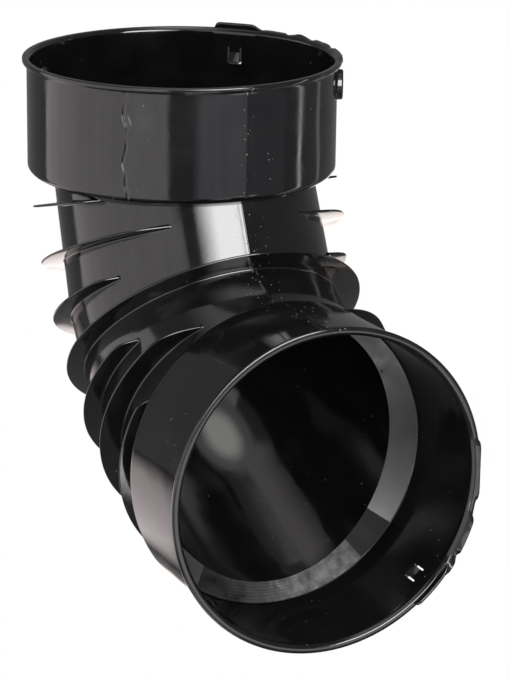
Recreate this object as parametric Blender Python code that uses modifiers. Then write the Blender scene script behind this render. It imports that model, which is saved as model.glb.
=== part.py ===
"""Drain elbow: a 90 degree push-fit fitting for 6 inch corrugated pipe, moulded in one piece.

Metres, +Z up. The origin is the centre of the inlet mouth, in the plane of its end face.
The inlet socket points up +Z, the outlet socket points along +X, and the bend lies in the XZ plane.
The two arms are mirror images in the plane that halves the bend, so one arm is modelled and mirrored.
Angles round a socket are measured from its throat side, the inner side of the bend, towards +Y.
"""
import math

import bmesh
import bpy
from mathutils import Matrix, Vector

MM = 0.001
SEGMENTS = 64
ARC_STEPS = 3
SHARP_ANGLE = math.radians(28.0)

# Walls and sockets
WALL = 2.4 * MM
SOCKET_OUTER_RADIUS = 91.4 * MM
SOCKET_DEPTH = 64.5 * MM  # mouth to the seat that the pipe end stops on
SOCKET_LENGTH = 66.3 * MM  # mouth to the start of the bend
SHOULDER_SLOPE = math.radians(26.0)
SHOULDER_ROUND = 4.0 * MM
SEAT_ROUND = 1.2 * MM
LIP_OVERHANG = 2.6 * MM  # lip edge to the outside of the socket wall
LIP_HEIGHT = 3.6 * MM
LIP_ROUND = 0.6 * MM
LEAD_IN = 1.7 * MM  # chamfer on the inner edge of the mouth

# Bend: each arm leans half way, and an arc across the mirror plane joins them
BEND_RADIUS = 137.7 * MM  # socket axis to the centre of the bend
ARM_LEAN = math.radians(22.5)
MIDDLE_THROAT_RADIUS = 9.8 * MM  # of the tube's inner side in that arc
TUBE_RADIUS_AT_SOCKET = 76.2 * MM
TUBE_RADIUS_AT_MIDDLE = 78.2 * MM

# Fins: three on each arm and one in the mirror plane
FIN_THICKNESS = 1.3 * MM
FIN_HEIGHTS = (12.7 * MM, 12.7 * MM, 10.8 * MM)  # fin edge beyond the tube's radius at the middle
FIN_THROAT_CUTS = (38.5 * MM, 66.7 * MM, 43.5 * MM)  # tube axis to the edge that faces the throat
FIRST_FIN = 15.6 * MM  # along the arm, from the start of the bend
FIN_PITCH = 29.3 * MM
FIRST_FIN_LEAN = math.radians(15.0)
FIN_LEAN_STEP = math.radians(9.3)
MIDDLE_FIN_HEIGHT = 11.8 * MM
MIDDLE_FIN_SHIFT = 12.1 * MM  # towards the throat, from the sharp corner of the arms

# Clips: a tongue in the socket wall, freed on three sides, with a barb on its inner face
CLIP_ANGLES = (math.radians(135.0), math.radians(-135.0))
CLIP_WIDTH = 7.0 * MM
CLIP_LENGTH = 9.5 * MM
CLIP_TOP = 11.0 * MM  # mouth to the root of the tongue
CLIP_SLOT = 1.4 * MM
BARB_HEIGHT = 3.6 * MM
BARB_LENGTH = 6.5 * MM

# Raised tab on the rim over the clips on one side, and a round boss on the inlet socket
TAB_ANGLE = math.radians(135.0)
TAB_WIDTH = 28.0 * MM
TAB_HEIGHT = 3.4 * MM
TAB_THICKNESS = 2.4 * MM
TAB_CORNER = 2.6 * MM
BOSS_ANGLE = math.radians(62.0)
BOSS_RADIUS = 9.0 * MM
BOSS_HEIGHT = 3.4 * MM
BOSS_EDGE = 0.8 * MM
BOSS_DROP = 15.0 * MM  # mouth to the centre of the boss

# Worked out from the sizes above
SOCKET_INNER_RADIUS = SOCKET_OUTER_RADIUS - WALL
LIP_RADIUS = SOCKET_OUTER_RADIUS + LIP_OVERHANG
MOUTH_RADIUS = SOCKET_INNER_RADIUS + LEAD_IN
MIDDLE_BEND_RADIUS = TUBE_RADIUS_AT_MIDDLE + MIDDLE_THROAT_RADIUS
FIN_RADII = tuple(TUBE_RADIUS_AT_MIDDLE + height for height in FIN_HEIGHTS)
MIDDLE_FIN_RADIUS = TUBE_RADIUS_AT_MIDDLE + MIDDLE_FIN_HEIGHT
BEND_START = Vector((0.0, 0.0, -SOCKET_LENGTH))
BEND_CENTRE = Vector((BEND_RADIUS, 0.0, -SOCKET_LENGTH))
ARM_AXIS = Vector((math.sin(ARM_LEAN), 0.0, -math.cos(ARM_LEAN)))
MIDDLE_LEAN = math.radians(45.0)
MIDDLE_AXIS = Vector((math.sin(MIDDLE_LEAN), 0.0, -math.cos(MIDDLE_LEAN)))
HEELWARD = Vector((-math.cos(MIDDLE_LEAN), 0.0, -math.sin(MIDDLE_LEAN)))
OVERLAP = 5.0 * MM  # how far a piece runs into or past its neighbour before they are joined or cut


def new_collection(name):
    """Make an empty collection in the scene."""
    collection = bpy.data.collections.new(name)
    bpy.context.scene.collection.children.link(collection)
    return collection


def new_object(name, mesh, collection):
    """Put a mesh into a collection as a named object."""
    obj = bpy.data.objects.new(name, mesh)
    collection.objects.link(obj)
    return obj


def mesh_from(name, bm):
    """Turn a bmesh into a mesh whose faces point out."""
    bmesh.ops.recalc_face_normals(bm, faces=bm.faces[:])
    mesh = bpy.data.meshes.new(name)
    bm.to_mesh(mesh)
    bm.free()
    return mesh


def guide(obj):
    """Mark an object that only shapes another one."""
    obj.hide_render = True
    obj.display_type = "WIRE"
    return obj


def arc(centre, radius, start, end, steps=4):
    """Points of an arc in a profile, as radius and height, angles in degrees."""
    points = []
    for i in range(steps + 1):
        angle = math.radians(start + (end - start) * i / steps)
        points.append((centre[0] + radius * math.cos(angle), centre[1] + radius * math.sin(angle)))
    return points


def revolve(name, profile, collection):
    """Turn a profile of radius and height, listed from the top axis point to the bottom one."""
    mesh = bpy.data.meshes.new(name)
    edges = [(i, i + 1) for i in range(len(profile) - 1)]
    mesh.from_pydata([(r, 0.0, z) for r, z in profile], edges, [])
    obj = new_object(name, mesh, collection)
    screw = obj.modifiers.new("Turn", "SCREW")
    screw.steps = screw.render_steps = SEGMENTS
    screw.use_merge_vertices = True
    screw.merge_threshold = 0.00001
    return obj


def loft(name, stations, collection):
    """Join rings into a closed tube. A station is centre, lean from straight down, radius and stretch."""
    bm = bmesh.new()
    rings = []
    for centre, lean, radius, stretch in stations:
        inward = Vector((math.cos(lean), 0.0, math.sin(lean)))
        ring = []
        for i in range(SEGMENTS):
            angle = math.tau * i / SEGMENTS
            offset = inward * radius * stretch * math.cos(angle)
            ring.append(bm.verts.new(centre + offset + Vector((0.0, radius * math.sin(angle), 0.0))))
        rings.append(ring)
    for upper, lower in zip(rings, rings[1:]):
        for i in range(SEGMENTS):
            j = (i + 1) % SEGMENTS
            bm.faces.new((upper[i], upper[j], lower[j], lower[i]))
    bm.faces.new(rings[0])
    bm.faces.new(rings[-1])
    return guide(new_object(name, mesh_from(name, bm), collection))


def prism(name, outline, low, high, matrix, collection):
    """Extrude a flat outline of (across, up) points along the local X axis, from low to high."""
    bm = bmesh.new()
    face = bm.faces.new([bm.verts.new((low, across, up)) for across, up in outline])
    grown = bmesh.ops.extrude_face_region(bm, geom=[face])
    tops = [item for item in grown["geom"] if isinstance(item, bmesh.types.BMVert)]
    bmesh.ops.translate(bm, verts=tops, vec=(high - low, 0.0, 0.0))
    bmesh.ops.transform(bm, matrix=matrix, verts=bm.verts[:])
    return guide(new_object(name, mesh_from(name, bm), collection))


def boolean(obj, name, operation, collection):
    """Join a collection to an object, or cut it away, with an exact Boolean."""
    modifier = obj.modifiers.new(name, "BOOLEAN")
    modifier.operation = operation
    modifier.operand_type = "COLLECTION"
    modifier.collection = collection
    modifier.solver = "EXACT"
    return modifier


def shoulder_depth(radius, offset):
    """Depth of the sloping shoulder at a radius, for the surface that lies offset outside the seat."""
    run = (SOCKET_INNER_RADIUS - radius) * math.tan(SHOULDER_SLOPE)
    return SOCKET_DEPTH + run + offset / math.cos(SHOULDER_SLOPE)


def round_corner(radius, depth, fillet):
    """Arc that rounds the corner between an upright wall and the shoulder below it."""
    turn = math.pi / 2 - SHOULDER_SLOPE
    tangent = fillet * math.tan(turn / 2)
    centre = (radius - fillet, -(depth - tangent))
    return arc(centre, fillet, 0.0, -math.degrees(turn))


def socket_outside(collection):
    """The solid outside of a socket: lip, upright wall, rounded corner and sloping shoulder."""
    depth = shoulder_depth(SOCKET_OUTER_RADIUS, WALL)
    foot = TUBE_RADIUS_AT_SOCKET - OVERLAP
    profile = [(0.0, 0.0), (LIP_RADIUS - LIP_ROUND, 0.0), (LIP_RADIUS, -LIP_ROUND)]
    profile += [(LIP_RADIUS, -LIP_HEIGHT + LIP_OVERHANG / 2), (SOCKET_OUTER_RADIUS, -LIP_HEIGHT)]
    profile += round_corner(SOCKET_OUTER_RADIUS, depth, SHOULDER_ROUND)
    profile += [(foot, -shoulder_depth(foot, WALL)), (0.0, -shoulder_depth(foot, WALL))]
    return revolve("elbow", profile, collection)


def socket_hollow(collection):
    """The room inside a socket: mouth, lead-in, bore for the pipe and the sloping seat."""
    foot = TUBE_RADIUS_AT_SOCKET - WALL - OVERLAP
    above = TAB_HEIGHT + OVERLAP
    flare = MOUTH_RADIUS + LIP_ROUND
    profile = [(0.0, above), (flare, above), (flare, LIP_ROUND), (SOCKET_INNER_RADIUS, -LEAD_IN)]
    profile += round_corner(SOCKET_INNER_RADIUS, SOCKET_DEPTH, SEAT_ROUND)
    profile += [(foot, -shoulder_depth(foot, 0.0)), (0.0, -shoulder_depth(foot, 0.0))]
    return guide(revolve("socket_hollow", profile, collection))


def tube_stations(inset):
    """Rings of the tube down one arm and past the mirror plane, inset from the outer surface."""
    corner = BEND_START + ARM_AXIS * (2.0 * BEND_RADIUS * math.sin(ARM_LEAN))
    half_turn = MIDDLE_LEAN - ARM_LEAN
    arc_start = corner - ARM_AXIS * (MIDDLE_BEND_RADIUS * math.tan(half_turn))
    arc_centre = corner - HEELWARD * (MIDDLE_BEND_RADIUS / math.cos(half_turn))
    slope = (TUBE_RADIUS_AT_MIDDLE - TUBE_RADIUS_AT_SOCKET) / (arc_start - BEND_START).length

    top = BEND_START - ARM_AXIS * OVERLAP
    stations = [(top, 0.0, TUBE_RADIUS_AT_SOCKET - slope * OVERLAP - inset, 1.0 / math.cos(ARM_LEAN))]
    for i in range(ARC_STEPS + 1):
        lean = ARM_LEAN + half_turn * i / ARC_STEPS
        outward = Vector((-math.cos(lean), 0.0, -math.sin(lean)))
        centre = arc_centre + outward * MIDDLE_BEND_RADIUS
        stations.append((centre, lean, TUBE_RADIUS_AT_MIDDLE - inset, 1.0))
    end = centre + MIDDLE_AXIS * (OVERLAP + inset)
    stations.append((end, MIDDLE_LEAN, TUBE_RADIUS_AT_MIDDLE - inset, 1.0))
    return stations


def fin(name, centre, lean, radius, throat_cut, collection):
    """A flat round fin across the tube, cut straight on its throat side if throat_cut is given."""
    bm = bmesh.new()
    turn = Matrix.Rotation(-lean, 4, "Y")
    bmesh.ops.create_cone(
        bm, cap_ends=True, segments=SEGMENTS, radius1=radius, radius2=radius,
        depth=FIN_THICKNESS, matrix=Matrix.Translation(centre) @ turn,
    )
    if throat_cut is not None:
        inward = Vector((math.cos(lean), 0.0, math.sin(lean)))
        cut = bmesh.ops.bisect_plane(
            bm, geom=bm.verts[:] + bm.edges[:] + bm.faces[:],
            plane_co=centre + inward * throat_cut, plane_no=inward, clear_outer=True,
        )
        rim = [item for item in cut["geom_cut"] if isinstance(item, bmesh.types.BMEdge)]
        bmesh.ops.contextual_create(bm, geom=rim)
    return guide(new_object(name, mesh_from(name, bm), collection))


def add_fins(collection):
    """Three fins fanned out along the arm, and one whole fin in the mirror plane."""
    for i, (radius, cut) in enumerate(zip(FIN_RADII, FIN_THROAT_CUTS)):
        centre = BEND_START + ARM_AXIS * (FIRST_FIN + FIN_PITCH * i)
        lean = FIRST_FIN_LEAN + FIN_LEAN_STEP * i
        fin(f"fin_{i + 1}", centre, lean, radius, cut, collection)
    centre = BEND_CENTRE + HEELWARD * (BEND_RADIUS - MIDDLE_FIN_SHIFT)
    fin("fin_middle", centre, MIDDLE_LEAN, MIDDLE_FIN_RADIUS, None, collection)


def add_clips(slots, barbs):
    """A three-sided slot and a barb for each clip. The tongue is the wall that the slot leaves."""
    half = CLIP_WIDTH / 2
    wide = half + CLIP_SLOT
    root, free = -CLIP_TOP, -(CLIP_TOP + CLIP_LENGTH)
    end = free - CLIP_SLOT
    outline = [(-wide, root), (-wide, end), (wide, end), (wide, root),
               (half, root), (half, free), (-half, free), (-half, root)]
    for i, angle in enumerate(CLIP_ANGLES):
        turn = Matrix.Rotation(angle, 4, "Z")
        low, high = SOCKET_INNER_RADIUS - OVERLAP, SOCKET_OUTER_RADIUS + OVERLAP
        prism(f"clip_slot_{i + 1}", outline, low, high, turn, slots)

        bm = bmesh.new()
        seat = SOCKET_INNER_RADIUS + WALL / 2
        tip = SOCKET_INNER_RADIUS - BARB_HEIGHT
        side = [(seat, free + BARB_LENGTH), (SOCKET_INNER_RADIUS - WALL / 8, free + BARB_LENGTH),
                (tip, free + BARB_HEIGHT / 4), (tip, free), (seat, free)]
        across = half * 0.999
        face = bm.faces.new([bm.verts.new((r, -across, z)) for r, z in side])
        grown = bmesh.ops.extrude_face_region(bm, geom=[face])
        tops = [item for item in grown["geom"] if isinstance(item, bmesh.types.BMVert)]
        bmesh.ops.translate(bm, verts=tops, vec=(0.0, 2 * across, 0.0))
        bmesh.ops.transform(bm, matrix=turn, verts=bm.verts[:])
        guide(new_object(f"clip_barb_{i + 1}", mesh_from(f"clip_barb_{i + 1}", bm), barbs))


def add_tab(collection):
    """A low tab with round corners, standing on the end face of the socket."""
    half = TAB_WIDTH / 2
    outline = [(-half, -OVERLAP / 4), (half, -OVERLAP / 4)]
    outline += arc((half - TAB_CORNER, TAB_HEIGHT - TAB_CORNER), TAB_CORNER, 0.0, 90.0)
    outline += arc((-half + TAB_CORNER, TAB_HEIGHT - TAB_CORNER), TAB_CORNER, 90.0, 180.0)
    turn = Matrix.Rotation(TAB_ANGLE, 4, "Z")
    tab = prism("rim_tab", outline, MOUTH_RADIUS - OVERLAP, LIP_RADIUS + OVERLAP, turn, collection)

    limits = new_collection("tab_limits")
    bm = bmesh.new()
    radius = MOUTH_RADIUS + TAB_THICKNESS
    bmesh.ops.create_cone(
        bm, cap_ends=True, segments=SEGMENTS, radius1=radius, radius2=radius, depth=4 * OVERLAP,
    )
    guide(new_object("tab_limit", mesh_from("tab_limit", bm), limits))
    boolean(tab, "Follow the rim", "INTERSECT", limits)


def add_boss(collection):
    """A round boss on the outside of the inlet socket, just below its lip."""
    bm = bmesh.new()
    inner = SOCKET_OUTER_RADIUS - WALL / 2
    outer = SOCKET_OUTER_RADIUS + BOSS_HEIGHT
    turn = Matrix.Rotation(BOSS_ANGLE, 4, "Z") @ Matrix.Rotation(math.pi / 2, 4, "Y")
    place = Matrix.Translation((BOSS_DROP, 0.0, (inner + outer) / 2))
    bmesh.ops.create_cone(
        bm, cap_ends=True, segments=SEGMENTS // 2, radius1=BOSS_RADIUS, radius2=BOSS_RADIUS,
        depth=outer - inner, matrix=turn @ place,
    )
    direction = Vector((math.cos(BOSS_ANGLE), math.sin(BOSS_ANGLE), 0.0))
    edges = [e for e in bm.edges if all((v.co.dot(direction) > outer - WALL / 4) for v in e.verts)]
    bmesh.ops.bevel(bm, geom=edges, offset=BOSS_EDGE, segments=2, affect="EDGES")
    guide(new_object("inlet_boss", mesh_from("inlet_boss", bm), collection))


def keep_edges_sharp(obj):
    """Shade the finished solid smooth, apart from the edges where it turns by more than SHARP_ANGLE."""
    tree = bpy.data.node_groups.new("smooth_by_angle", "GeometryNodeTree")
    for way in ("INPUT", "OUTPUT"):
        tree.interface.new_socket("Geometry", in_out=way, socket_type="NodeSocketGeometry")
    given = tree.nodes.new("NodeGroupInput")
    angle = tree.nodes.new("GeometryNodeInputMeshEdgeAngle")
    flat = tree.nodes.new("FunctionNodeCompare")
    flat.data_type = "FLOAT"
    flat.operation = "LESS_THAN"
    flat.inputs["B"].default_value = SHARP_ANGLE
    faces = tree.nodes.new("GeometryNodeSetShadeSmooth")
    edges = tree.nodes.new("GeometryNodeSetShadeSmooth")
    faces.domain, edges.domain = "FACE", "EDGE"
    result = tree.nodes.new("NodeGroupOutput")
    tree.links.new(given.outputs[0], faces.inputs["Geometry"])
    tree.links.new(faces.outputs[0], edges.inputs["Geometry"])
    tree.links.new(angle.outputs["Unsigned Angle"], flat.inputs["A"])
    tree.links.new(flat.outputs[0], edges.inputs["Shade Smooth"])
    tree.links.new(edges.outputs[0], result.inputs[0])
    obj.modifiers.new("Smooth by angle", "NODES").node_group = tree


def black_plastic():
    """Glossy black polyethylene."""
    material = bpy.data.materials.new("black_polyethylene")
    material.use_nodes = True
    shader = material.node_tree.nodes["Principled BSDF"]
    shader.inputs["Base Color"].default_value = (0.010, 0.010, 0.011, 1.0)
    shader.inputs["Roughness"].default_value = 0.22
    shader.inputs["Metallic"].default_value = 0.0
    return material


def main():
    """Build the elbow."""
    for obj in list(bpy.data.objects):
        bpy.data.objects.remove(obj, do_unlink=True)

    product = new_collection("drain_elbow")
    solids = new_collection("arm_solids")
    hollows = new_collection("arm_hollows")
    slots = new_collection("clip_slots")
    barbs = new_collection("clip_barbs")
    bosses = new_collection("bosses")

    elbow = socket_outside(product)
    loft("tube_outside", tube_stations(0.0), solids)
    add_fins(solids)
    add_tab(solids)
    socket_hollow(hollows)
    loft("tube_hollow", tube_stations(WALL), hollows)
    add_clips(slots, barbs)
    add_boss(bosses)

    mirror_plane = bpy.data.objects.new("mirror_plane", None)
    mirror_plane.location = BEND_CENTRE
    mirror_plane.rotation_euler = (0.0, MIDDLE_LEAN, 0.0)
    product.objects.link(mirror_plane)

    boolean(elbow, "Tube, fins and tab", "UNION", solids)
    boolean(elbow, "Waterway", "DIFFERENCE", hollows)
    boolean(elbow, "Clip slots", "DIFFERENCE", slots)
    boolean(elbow, "Clip barbs", "UNION", barbs)
    mirror = elbow.modifiers.new("Outlet arm", "MIRROR")
    mirror.mirror_object = mirror_plane
    mirror.use_axis = (True, False, False)
    mirror.use_bisect_axis = (True, False, False)
    mirror.use_bisect_flip_axis = (True, False, False)
    mirror.bisect_threshold = mirror.merge_threshold = 0.00001
    boolean(elbow, "Inlet boss", "UNION", bosses)

    keep_edges_sharp(elbow)
    elbow.data.materials.append(black_plastic())


main()
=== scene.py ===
"""Glossy black drain elbow for 6 inch corrugated pipe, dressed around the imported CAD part.

Everything is in metres in the CAD part's frame: the origin is the centre of the inlet mouth, the
inlet socket points up +Z, the outlet socket points along +X, and the bend lies in the XZ plane.
Angles round a socket are measured from its throat side, the inner side of the bend, towards +Y.
The outlet arm is the inlet arm mirrored in the plane that halves the bend.
"""
import logging
import math
from dataclasses import dataclass
from enum import Enum
from typing import Any, Sequence

import bmesh
import bpy
import numpy as np
from mathutils import Matrix, Vector

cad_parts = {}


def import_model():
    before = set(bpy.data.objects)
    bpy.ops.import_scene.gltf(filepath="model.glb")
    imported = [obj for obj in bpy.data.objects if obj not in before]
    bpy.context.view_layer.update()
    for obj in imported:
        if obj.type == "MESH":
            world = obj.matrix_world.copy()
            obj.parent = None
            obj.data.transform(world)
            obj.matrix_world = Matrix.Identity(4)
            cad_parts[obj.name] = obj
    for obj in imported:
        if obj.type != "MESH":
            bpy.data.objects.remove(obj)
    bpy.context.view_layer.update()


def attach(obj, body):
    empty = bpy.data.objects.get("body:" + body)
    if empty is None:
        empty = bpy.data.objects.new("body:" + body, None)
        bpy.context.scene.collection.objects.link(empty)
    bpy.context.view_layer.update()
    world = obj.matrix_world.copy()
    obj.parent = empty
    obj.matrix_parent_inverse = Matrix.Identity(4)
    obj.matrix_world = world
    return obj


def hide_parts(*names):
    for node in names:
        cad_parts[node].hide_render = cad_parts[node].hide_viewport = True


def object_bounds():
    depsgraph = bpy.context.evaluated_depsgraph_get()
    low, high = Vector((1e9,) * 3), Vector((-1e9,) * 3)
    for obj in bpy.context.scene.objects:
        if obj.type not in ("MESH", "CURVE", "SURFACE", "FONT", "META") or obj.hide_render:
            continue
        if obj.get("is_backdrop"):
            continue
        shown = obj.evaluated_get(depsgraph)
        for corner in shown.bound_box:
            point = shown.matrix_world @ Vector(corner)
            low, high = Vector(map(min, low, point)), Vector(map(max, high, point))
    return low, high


LOG = logging.getLogger("drain_elbow")
MM = 0.001
BODY = "root"
NODE = "elbow"
MERGE_DISTANCE = 0.002 * MM
MIX_A, MIX_B, MIX_RESULT = 6, 7, 2  # sockets of a Mix node that mixes colours


class Arm(Enum):
    """The two arms of the elbow."""

    INLET = "inlet"
    OUTLET = "outlet"


class Skin(Enum):
    """Which finish a face of the moulding wears."""

    GLOSS = 0
    SATIN = 1
    # Painted shade: the turned finish made darker and barely reflective, for a seat sector whose reflection is dark
    PAINTED_SHADE = 2
    STREAKED = 3


def linear(hex_colour: str) -> tuple[float, float, float, float]:
    """Turn an sRGB hex colour into linear light.

    Args:
        hex_colour: Six hex digits, such as "1a1b1c".

    Returns:
        Linear red, green and blue, and an alpha of 1.
    """
    values = [int(hex_colour[i:i + 2], 16) / 255 for i in (0, 2, 4)]
    red, green, blue = (v / 12.92 if v <= 0.04045 else ((v + 0.055) / 1.055) ** 2.4 for v in values)
    return red, green, blue, 1.0


def add_node(tree: bpy.types.NodeTree, kind: str, settings: dict[str, Any] | None = None,
             inputs: dict[int | str, Any] | None = None) -> bpy.types.Node:
    """Add a node with its settings and links.

    Args:
        tree: The node tree that gets the node.
        kind: Blender's name of the node type.
        settings: Attributes to set on the node.
        inputs: Values or output sockets, by the input's name or number.

    Returns:
        The new node.
    """
    node = tree.nodes.new(kind)
    for name, value in (settings or {}).items():
        setattr(node, name, value)
    for key, value in (inputs or {}).items():
        socket = node.inputs[key]
        if isinstance(value, bpy.types.NodeSocket):
            tree.links.new(value, socket)
        else:
            socket.default_value = value
    return node


def empty_material(name: str) -> tuple[bpy.types.Material, bpy.types.ShaderNodeTree]:
    """Make a material without nodes.

    Args:
        name: Name of the material.

    Returns:
        The material and its empty node tree.
    """
    material = bpy.data.materials.new(name)
    material.use_nodes = True
    material.node_tree.nodes.clear()
    return material, material.node_tree


def throatward(lean: float) -> np.ndarray:
    """Direction towards the throat, across a tube that leans by an angle from straight down."""
    return np.array([math.cos(lean), 0.0, math.sin(lean)])


def to_outlet(points: np.ndarray) -> np.ndarray:
    """Mirror points of the inlet arm, in metres, onto the outlet arm."""
    reach = ElbowSizes().reach
    return np.stack([points[..., 2] + reach, points[..., 1], points[..., 0] - reach], axis=-1)


def round_socket(points: np.ndarray, angle: float, arm: Arm) -> np.ndarray:
    """Turn points round the socket's axis, and mirror them for the outlet arm.

    Args:
        points: Points in metres, made for the throat side of the inlet socket.
        angle: How far round the socket they go, in radians.
        arm: Whose socket they go to.

    Returns:
        The placed points.
    """
    turn = np.array([[math.cos(angle), -math.sin(angle), 0.0],
                     [math.sin(angle), math.cos(angle), 0.0], [0.0, 0.0, 1.0]])
    points = points @ turn.T
    return to_outlet(points) if arm is Arm.OUTLET else points


def ring_faces(rings: int, count: int, base: int = 0) -> list[list[int]]:
    """Faces between closed rings of points that are numbered one ring after another.

    Args:
        rings: Number of rings.
        count: Points in each ring.
        base: Number of the first point.

    Returns:
        The point numbers of each face.
    """
    faces = []
    for start in range(base, base + (rings - 1) * count, count):
        for i in range(count):
            j = (i + 1) % count
            faces.append([start + i, start + j, start + count + j, start + count + i])
    return faces


def prism_faces(count: int) -> list[list[int]]:
    """Faces of a bar between two outlines with the same number of points."""
    return [*ring_faces(2, count), list(range(count)), list(range(count, 2 * count))]


def face_outwards(mesh: bpy.types.Mesh, merge: bool = True) -> None:
    """Turn the faces of a closed mesh outwards.

    Args:
        mesh: The mesh.
        merge: Whether points at one place become one point first.
    """
    bm = bmesh.new()
    bm.from_mesh(mesh)
    if merge:
        bmesh.ops.remove_doubles(bm, verts=bm.verts[:], dist=MERGE_DISTANCE)
    bmesh.ops.recalc_face_normals(bm, faces=bm.faces[:])
    bm.to_mesh(mesh)
    bm.free()


def object_from(name: str, verts: np.ndarray, faces: Sequence[Sequence[int]],
                skins: Sequence[int] = ()) -> bpy.types.Object:
    """Make a mesh object at the origin, with doubles merged and faces pointing out.

    Args:
        name: Name of the object and its mesh.
        verts: Points in metres.
        faces: Point numbers of each face.
        skins: Number of each face's material, or nothing for the first one throughout.

    Returns:
        The object, linked to the scene.
    """
    mesh = bpy.data.meshes.new(name)
    mesh.from_pydata(verts.tolist(), [], faces)
    if skins:
        mesh.polygons.foreach_set("material_index", skins)
    face_outwards(mesh)
    obj = bpy.data.objects.new(name, mesh)
    bpy.context.scene.collection.objects.link(obj)
    return obj


def settle(obj: bpy.types.Object) -> None:
    """Turn an object's modifiers into a plain mesh.

    Args:
        obj: The object, whose modifiers are removed.
    """
    graph = bpy.context.evaluated_depsgraph_get()
    mesh = bpy.data.meshes.new_from_object(obj.evaluated_get(graph))
    obj.modifiers.clear()
    obj.data = mesh


def soften(obj: bpy.types.Object, sharp_from: float) -> None:
    """Shade an object smooth, and keep the edges sharp that turn by more than an angle in degrees."""
    obj.data.shade_smooth()
    obj.data.set_sharp_from_angle(angle=math.radians(sharp_from))


def round_edges(obj: bpy.types.Object, width: float, turn_from: float, sharp_from: float) -> None:
    """Round an object's edges and shade it.

    Args:
        obj: The object.
        width: Width of the round in metres.
        turn_from: Least turn of an edge that gets a round, in degrees.
        sharp_from: Least turn of an edge that is shaded sharp after that, in degrees.
    """
    bevel = obj.modifiers.new("Round", "BEVEL")
    bevel.width = width
    bevel.segments = 3
    bevel.limit_method = "ANGLE"
    bevel.angle_limit = math.radians(turn_from)
    settle(obj)
    soften(obj, sharp_from)


@dataclass(frozen=True)
class ElbowSizes:
    """Sizes of the elbow, as in the CAD part, in metres and radians."""

    wall: float = 2.4 * MM
    socket_outer: float = 91.4 * MM
    socket_depth: float = 64.5 * MM
    socket_length: float = 66.3 * MM
    shoulder_slope: float = math.radians(26.0)
    shoulder_round: float = 4.0 * MM
    seat_round: float = 1.2 * MM
    lip_overhang: float = 2.6 * MM
    lip_height: float = 3.6 * MM
    lip_round: float = 0.6 * MM
    lead_in: float = 1.7 * MM
    bend_radius: float = 137.7 * MM
    arm_lean: float = math.radians(22.5)
    middle_lean: float = math.radians(45.0)
    middle_bend_radius: float = 88.0 * MM
    tube_at_socket: float = 76.2 * MM
    tube_at_middle: float = 78.2 * MM

    @property
    def socket_inner(self) -> float:
        """Inside radius of a socket."""
        return self.socket_outer - self.wall

    @property
    def lip(self) -> float:
        """Outside radius of a lip."""
        return self.socket_outer + self.lip_overhang

    @property
    def mouth(self) -> float:
        """Radius of a mouth, at its end face."""
        return self.socket_inner + self.lead_in

    @property
    def reach(self) -> float:
        """Distance from a socket's axis to the other socket's end face."""
        return self.bend_radius + self.socket_length

    @property
    def bend_centre(self) -> tuple[float, float, float]:
        """Centre of the bend, which both sockets' axes pass at the bend radius."""
        return self.bend_radius, 0.0, -self.socket_length

    @property
    def bend_start(self) -> np.ndarray:
        """Where the inlet arm's tube starts, on the socket axis."""
        return np.array([0.0, 0.0, -self.socket_length])

    @property
    def arm_axis(self) -> np.ndarray:
        """Direction of the inlet arm's tube, towards the outlet."""
        return np.array([math.sin(self.arm_lean), 0.0, -math.cos(self.arm_lean)])

    @property
    def arm_length(self) -> float:
        """Length of an arm's axis, up to where it meets the other arm's."""
        return 2.0 * self.bend_radius * math.sin(self.arm_lean)

    @property
    def corner(self) -> np.ndarray:
        """Where the axes of the two arms meet."""
        return self.bend_start + self.arm_axis * self.arm_length

    @property
    def straight(self) -> float:
        """Length of the straight part of an arm's tube."""
        return self.arm_length - self.middle_bend_radius * math.tan(self.middle_lean - self.arm_lean)

    @property
    def taper(self) -> float:
        """Growth of the tube's radius for each metre along an arm."""
        return (self.tube_at_middle - self.tube_at_socket) / self.straight

    @property
    def arc_centre(self) -> np.ndarray:
        """Centre of the arc that joins the two arms' axes."""
        turn = self.middle_lean - self.arm_lean
        return self.corner + throatward(self.middle_lean) * (self.middle_bend_radius / math.cos(turn))


@dataclass(frozen=True)
class Lump:
    """A low uneven lump on a lip: its stretch and ramps in degrees, its rise and reach in metres."""

    low: float
    high: float
    ramp: float
    rise: float
    reach: float

    def shape(self, angles: np.ndarray) -> np.ndarray:
        """How much of the lump there is at each angle.

        Args:
            angles: Angles round the socket in radians.

        Returns:
            A share from 0 to 1 for each angle.
        """
        degrees = np.degrees(angles)
        start = np.clip((degrees - self.low) / self.ramp, 0.0, 1.0)
        end = np.clip((self.high - degrees) / self.ramp, 0.0, 1.0)
        return start * end


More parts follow.
